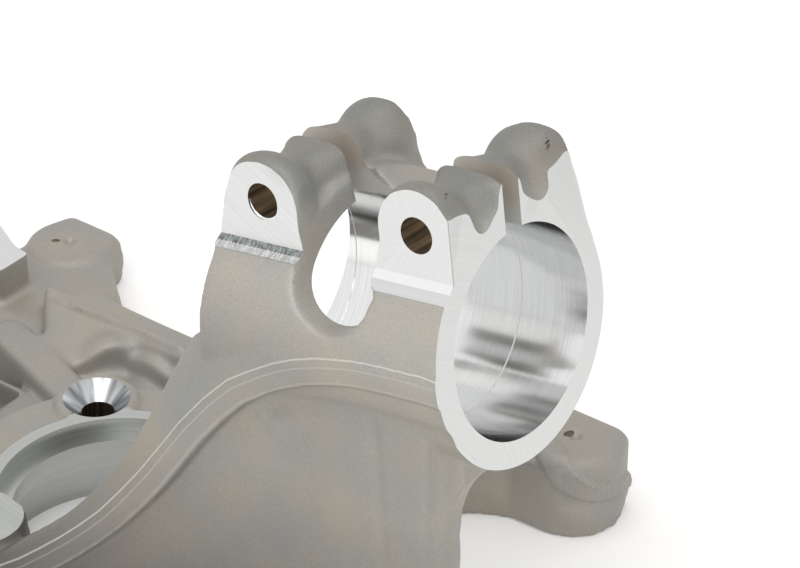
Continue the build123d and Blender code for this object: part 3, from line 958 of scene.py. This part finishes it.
def castMaterial():
    looks = castLooks
    material, tree, shader = newMaterial("castSkin", looks)
    coords = objectCoords(tree)
    x, z = split(tree, coords, "XZ")
    [v] = split(tree, clampCoords(tree), "Y")
    tint = ramp(tree, noise(tree, coords, looks["tintScale"], 4), looks["tint"])
    grain = ramp(tree, noise(tree, coords, looks["grainScale"], 2, 0.6), looks["grain"])
    color = mixColor(tree, looks["grainShare"], tint, grain, "MULTIPLY")
    # Painted shade low on the neck's side, painted light near its top
    low = ramp(tree, times(tree, z, looks["perHeight"]), looks["low"])
    paintedSideLightAndShade = mixColor(tree, 1.0, color, low, "MULTIPLY")
    color = mixColor(tree, slope(tree, x, *looks["side"]), color, paintedSideLightAndShade)
    # Painted shade over the clamp's top
    crown = ramp(tree, times(tree, v, looks["perCrown"]), looks["crown"])
    color = mixColor(tree, 1.0, color, crown, "MULTIPLY")
    attribute = tree.nodes.new("ShaderNodeAttribute")
    attribute.attribute_name = "parting"
    above = attribute.outputs["Fac"]
    line = peak(tree, above, 0.0, parting["lineHalf"])
    second = peak(tree, above, parting["secondLine"], parting["lineHalf"])
    lines = math(tree, "MULTIPLY_ADD", second, looks["secondLine"], line)
    share, lineColor = looks["line"]
    color = mixColor(tree, math(tree, "MULTIPLY", lines, share, clamped=True), color, lineColor)
    # Painted highlight along the band's lower edge, and painted shade in its crease
    for name, height in (("edge", "bandEdge"), ("crease", "crease")):
        share, markColor = looks[name]
        mark = peak(tree, above, parting[height], parting["creaseHalf"])
        color = mixColor(tree, times(tree, mark, share), color, markColor)
    link(tree, color, shader.inputs["Base Color"])
    normal = None
    for scale, depth, strength in (looks["fineBump"], looks["wideBump"]):
        normal = bump(tree, noise(tree, coords, scale, 2), depth, strength, normal)
    normal = bump(tree, lines, *looks["lineBump"], normal)
    link(tree, normal, shader.inputs["Normal"])
    return material


def sawnMaterial():
    looks = sawnLooks
    material, tree, shader = newMaterial("sawn", looks)
    v, w = split(tree, clampCoords(tree), "YZ")
    ragged = math(tree, "MULTIPLY_ADD", noise(tree, objectCoords(tree), looks["noiseScale"], 2),
                  looks["ragged"], v)
    # Grey metal below, and a painted brown reflection above
    color = ramp(tree, times(tree, ragged, looks["perHeight"]), looks["border"])
    along = math(tree, "MODULO", times(tree, w, -1.0), looks["pitch"])
    inner = times(tree, slope(tree, along, *looks["inward"]), slope(tree, v, *looks["upward"]))
    link(tree, mixColor(tree, inner, color, looks["inner"]), shader.inputs["Base Color"])
    return material


def plainMaterial(name, looks):
    material, tree, shader = newMaterial(name, looks)
    shader.inputs["Base Color"].default_value = (*looks["color"], 1)
    return material, tree, shader


def streaked(name, looks, streaks):
    material, tree, shader = plainMaterial(name, looks)
    marks = streaks(tree)
    low = tuple(part * (1 - looks["contrast"]) for part in looks["color"])
    high = tuple(min(1, part * (1 + looks["contrast"])) for part in looks["color"])
    link(tree, ramp(tree, marks, ((0.3, low), (0.7, high))), shader.inputs["Base Color"])
    link(tree, bump(tree, marks, looks["depth"], 1.0), shader.inputs["Normal"])
    return material


def darkenEdge(material):    # beside the near spotface
    tree = material.node_tree
    shader = tree.nodes["Principled BSDF"]
    u, v = split(tree, clampCoords(tree), "XY")
    edge = times(tree, peak(tree, u, clamp["spotU"] + facedEdge["inset"], facedEdge["half"]),
                 slope(tree, v, *facedEdge["upward"]))
    plain = shader.inputs["Base Color"].links[0].from_socket
    color = mixColor(tree, times(tree, edge, facedEdge["share"]), plain, facedEdge["color"])
    link(tree, color, shader.inputs["Base Color"])


def boredStreaks(tree):    # rings round the bore
    u, v, w = split(tree, clampCoords(tree))
    angle = math(tree, "ARCTAN2", v, u)
    vector = combine(tree, times(tree, w, streakScales["rings"]),
                     times(tree, angle, streakScales["boreTurn"]))
    return noise(tree, vector, 1, 3)


def facedStreaks(tree):    # arcs of the cutter that faced the near end
    u, v = split(tree, mapped(tree, clampCoords(tree), streakScales["arcCentre"]), "XY")
    reach = distance(tree, u, v)
    vector = combine(tree, times(tree, reach, streakScales["rings"]), times(tree, u, streakScales["arcs"]))
    return noise(tree, vector, 1, 3)


def pinchCoords(tree, w):    # v and w, measured from a pinch hole's middle
    return split(tree, mapped(tree, clampCoords(tree), (0, -clamp["pinchV"], -w)), "YZ")


def fanStreaks(tree):    # rays about the near pinch hole
    v, w = pinchCoords(tree, clamp["pinchW"][0])
    angle = math(tree, "ARCTAN2", v, w)
    vector = combine(tree, times(tree, angle, streakScales["fanTurn"]),
                     times(tree, distance(tree, v, w), streakScales["fan"]))
    return noise(tree, vector, 1, 3)


def strokeStreaks(tree):    # long strokes that run down to the right, on the far spotface
    v, w = pinchCoords(tree, clamp["pinchW"][1])
    lean = streakScales["strokeLean"]
    across = math(tree, "MULTIPLY_ADD", v, lean, w)
    along = math(tree, "MULTIPLY_ADD", w, -lean, v)
    fine, long = streakScales["strokes"]
    return noise(tree, combine(tree, times(tree, across, fine), times(tree, along, long)), 1, 3)


def threadStreaks(tree):
    [u] = split(tree, clampCoords(tree), "X")
    turns = times(tree, u, 2 * pi / streakScales["threadPitch"])
    return math(tree, "MULTIPLY_ADD", math(tree, "SINE", turns), 0.5, 0.5)


def drilledStreaks(tree):    # light scores that run along the pinch holes
    u, v, w = split(tree, clampCoords(tree))
    fine, long = streakScales["drilled"]
    vector = combine(tree, times(tree, v, fine), times(tree, w, fine), times(tree, u, long))
    return noise(tree, vector, 1, 2)


# Painted reflection: light and dark rays standing in for the studio mirrored in the seat
def coneReflectionRays(bolt):    # rays down a bolt's conical seat
    def streaks(tree):
        x, y, z = bolt.translation
        a, b, c = split(tree, mapped(tree, objectCoords(tree), (-x, -y, -z)))
        turn = math(tree, "ARCTAN2", b, a)
        vector = combine(tree, times(tree, turn, streakScales["coneTurn"]),
                         times(tree, c, streakScales["cone"]))
        return noise(tree, vector, 1, 2)
    return streaks


def tornStreaks(tree):
    u, v, w = split(tree, clampCoords(tree))
    fine, long = streakScales["torn"]
    return noise(tree, combine(tree, times(tree, w, fine), times(tree, v, long), u), 1, 4, 0.7)


def turnedStreaks(tree):    # rings round the wheel's axis
    x, y, z = split(tree, objectCoords(tree))
    reach = distance(tree, x, y)
    rings = streakScales["rings"]
    return noise(tree, combine(tree, times(tree, reach, rings), times(tree, z, rings)), 1, 2)


print("start", flush=True)
streaks = {
    "faced": facedStreaks,
    "bored": boredStreaks,
    "spotNear": fanStreaks,
    "spotFar": strokeStreaks,
    "turned": turnedStreaks,
    "threaded": threadStreaks,
    "drilled": drilledStreaks,
    "torn": tornStreaks,
    "chipped": tornStreaks,
}
materials = {name: streaked(name, finishes[name], streaks[name]) for name in streaks}
materials["sawn"] = sawnMaterial()
darkenEdge(materials["faced"])
for name in ("paintedGrooveHighlight", "bevelled", "pitted"):
    materials[name] = plainMaterial(name, finishes[name])[0]
for number, (bolt, top) in enumerate(boltPlaces()):
    if top > hub["landZ"]:
        continue
    name = "cone" + str(number)
    materials[name] = streaked(name, finishes["cone"], coneReflectionRays(bolt))
body = castSkin(uncutCasting())
body.name = "casting"
body.data.name = "casting"
paint(body, castMaterial())
machine(body, materials)
markParting(body)
bpy.ops.object.select_all(action="DESELECT")
body.select_set(True)
bpy.context.view_layer.objects.active = body
bpy.ops.object.shade_smooth_by_angle(angle=radians(skin["smoothAngle"]))
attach(body, "root")
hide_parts("steering_knuckle")
print("body done", flush=True)

studioLooks = {
    "floorSize": 6,
    "floor": {"color": (0.95, 0.95, 0.95), "roughness": 0.9, "metallic": 0.0},
    "floorGlow": 0.14,    # added where the floor is seen, so that it is nearly white
    "skyColor": (1.0, 0.985, 0.96),
    "skyPower": 0.72,
    "target": (0, 0.08, 0.1),    # what the lamps point at
    "lamps": {
        "key": {"position": (0.5, 0.2, 1.5), "size": 1.2, "power": 10},
        "fill": {"position": (1.5, 0.9, 0.7), "size": 1.0, "power": 5},
    },
}
# The photograph's camera: its place, and its right, up and back directions
view = {
    "lens": 135.0,
    "sensor": 36.0,
    "position": (0.5480, 0.5336, 0.6108),
    "turn": ((-0.6082, 0.7938, 0.0), (-0.4370, -0.3348, 0.8348), (0.6627, 0.5077, 0.5505)),
}


def areaLight(name, position, size, power):
    light = bpy.data.lights.new(name, "AREA")
    light.shape = "RECTANGLE"
    light.size = size
    light.size_y = size
    light.energy = power
    lamp = bpy.data.objects.new(name, light)
    bpy.context.scene.collection.objects.link(lamp)
    lamp.location = position
    aim = Vector(studioLooks["target"]) - Vector(position)
    lamp.rotation_euler = aim.to_track_quat("-Z", "Y").to_euler()


def directlySeen(tree):    # 1 for rays of the camera, of mirrors and of glass
    ways = tree.nodes.new("ShaderNodeLightPath")
    clear = math(tree, "MAXIMUM", ways.outputs["Is Glossy Ray"], ways.outputs["Is Transmission Ray"])
    return math(tree, "MAXIMUM", ways.outputs["Is Camera Ray"], clear)


def background(tree, color, power):
    shade = tree.nodes.new("ShaderNodeBackground")
    shade.inputs["Color"].default_value = (*color, 1)
    shade.inputs["Strength"].default_value = power
    return shade.outputs["Background"]


def paleFloor():
    bpy.ops.mesh.primitive_plane_add(size=studioLooks["floorSize"])
    floor = bpy.context.object
    floor.name = "floor"
    material, tree, shader = plainMaterial("floor", studioLooks["floor"])
    glow = times(tree, directlySeen(tree), studioLooks["floorGlow"])
    link(tree, glow, shader.inputs["Emission Strength"])
    shader.inputs["Emission Color"].default_value = (1, 1, 1, 1)
    paint(floor, material)


def studioWorld():    # soft light from all round, and a white background
    world = bpy.data.worlds.new("studio")
    world.use_nodes = True
    bpy.context.scene.world = world
    tree = world.node_tree
    tree.nodes.clear()
    mix = tree.nodes.new("ShaderNodeMixShader")
    link(tree, directlySeen(tree), mix.inputs["Fac"])
    link(tree, background(tree, studioLooks["skyColor"], studioLooks["skyPower"]), mix.inputs[1])
    link(tree, background(tree, (1, 1, 1), 1.0), mix.inputs[2])
    output = tree.nodes.new("ShaderNodeOutputWorld")
    link(tree, mix.outputs["Shader"], output.inputs["Surface"])


def photoCamera():
    data = bpy.data.cameras.new("camera")
    data.lens = view["lens"]
    data.sensor_width = view["sensor"]
    camera = bpy.data.objects.new("camera", data)
    bpy.context.scene.collection.objects.link(camera)
    turn = Matrix(view["turn"]).transposed()
    camera.matrix_world = Matrix.Translation(view["position"]) @ turn.to_4x4()
    bpy.context.scene.camera = camera


paleFloor()
studioWorld()
for name, lamp in studioLooks["lamps"].items():
    areaLight(name, lamp["position"], lamp["size"], lamp["power"])
photoCamera()
bpy.context.scene.view_settings.view_transform = "Standard"
bpy.context.view_layer.update()
print("finish", flush=True)
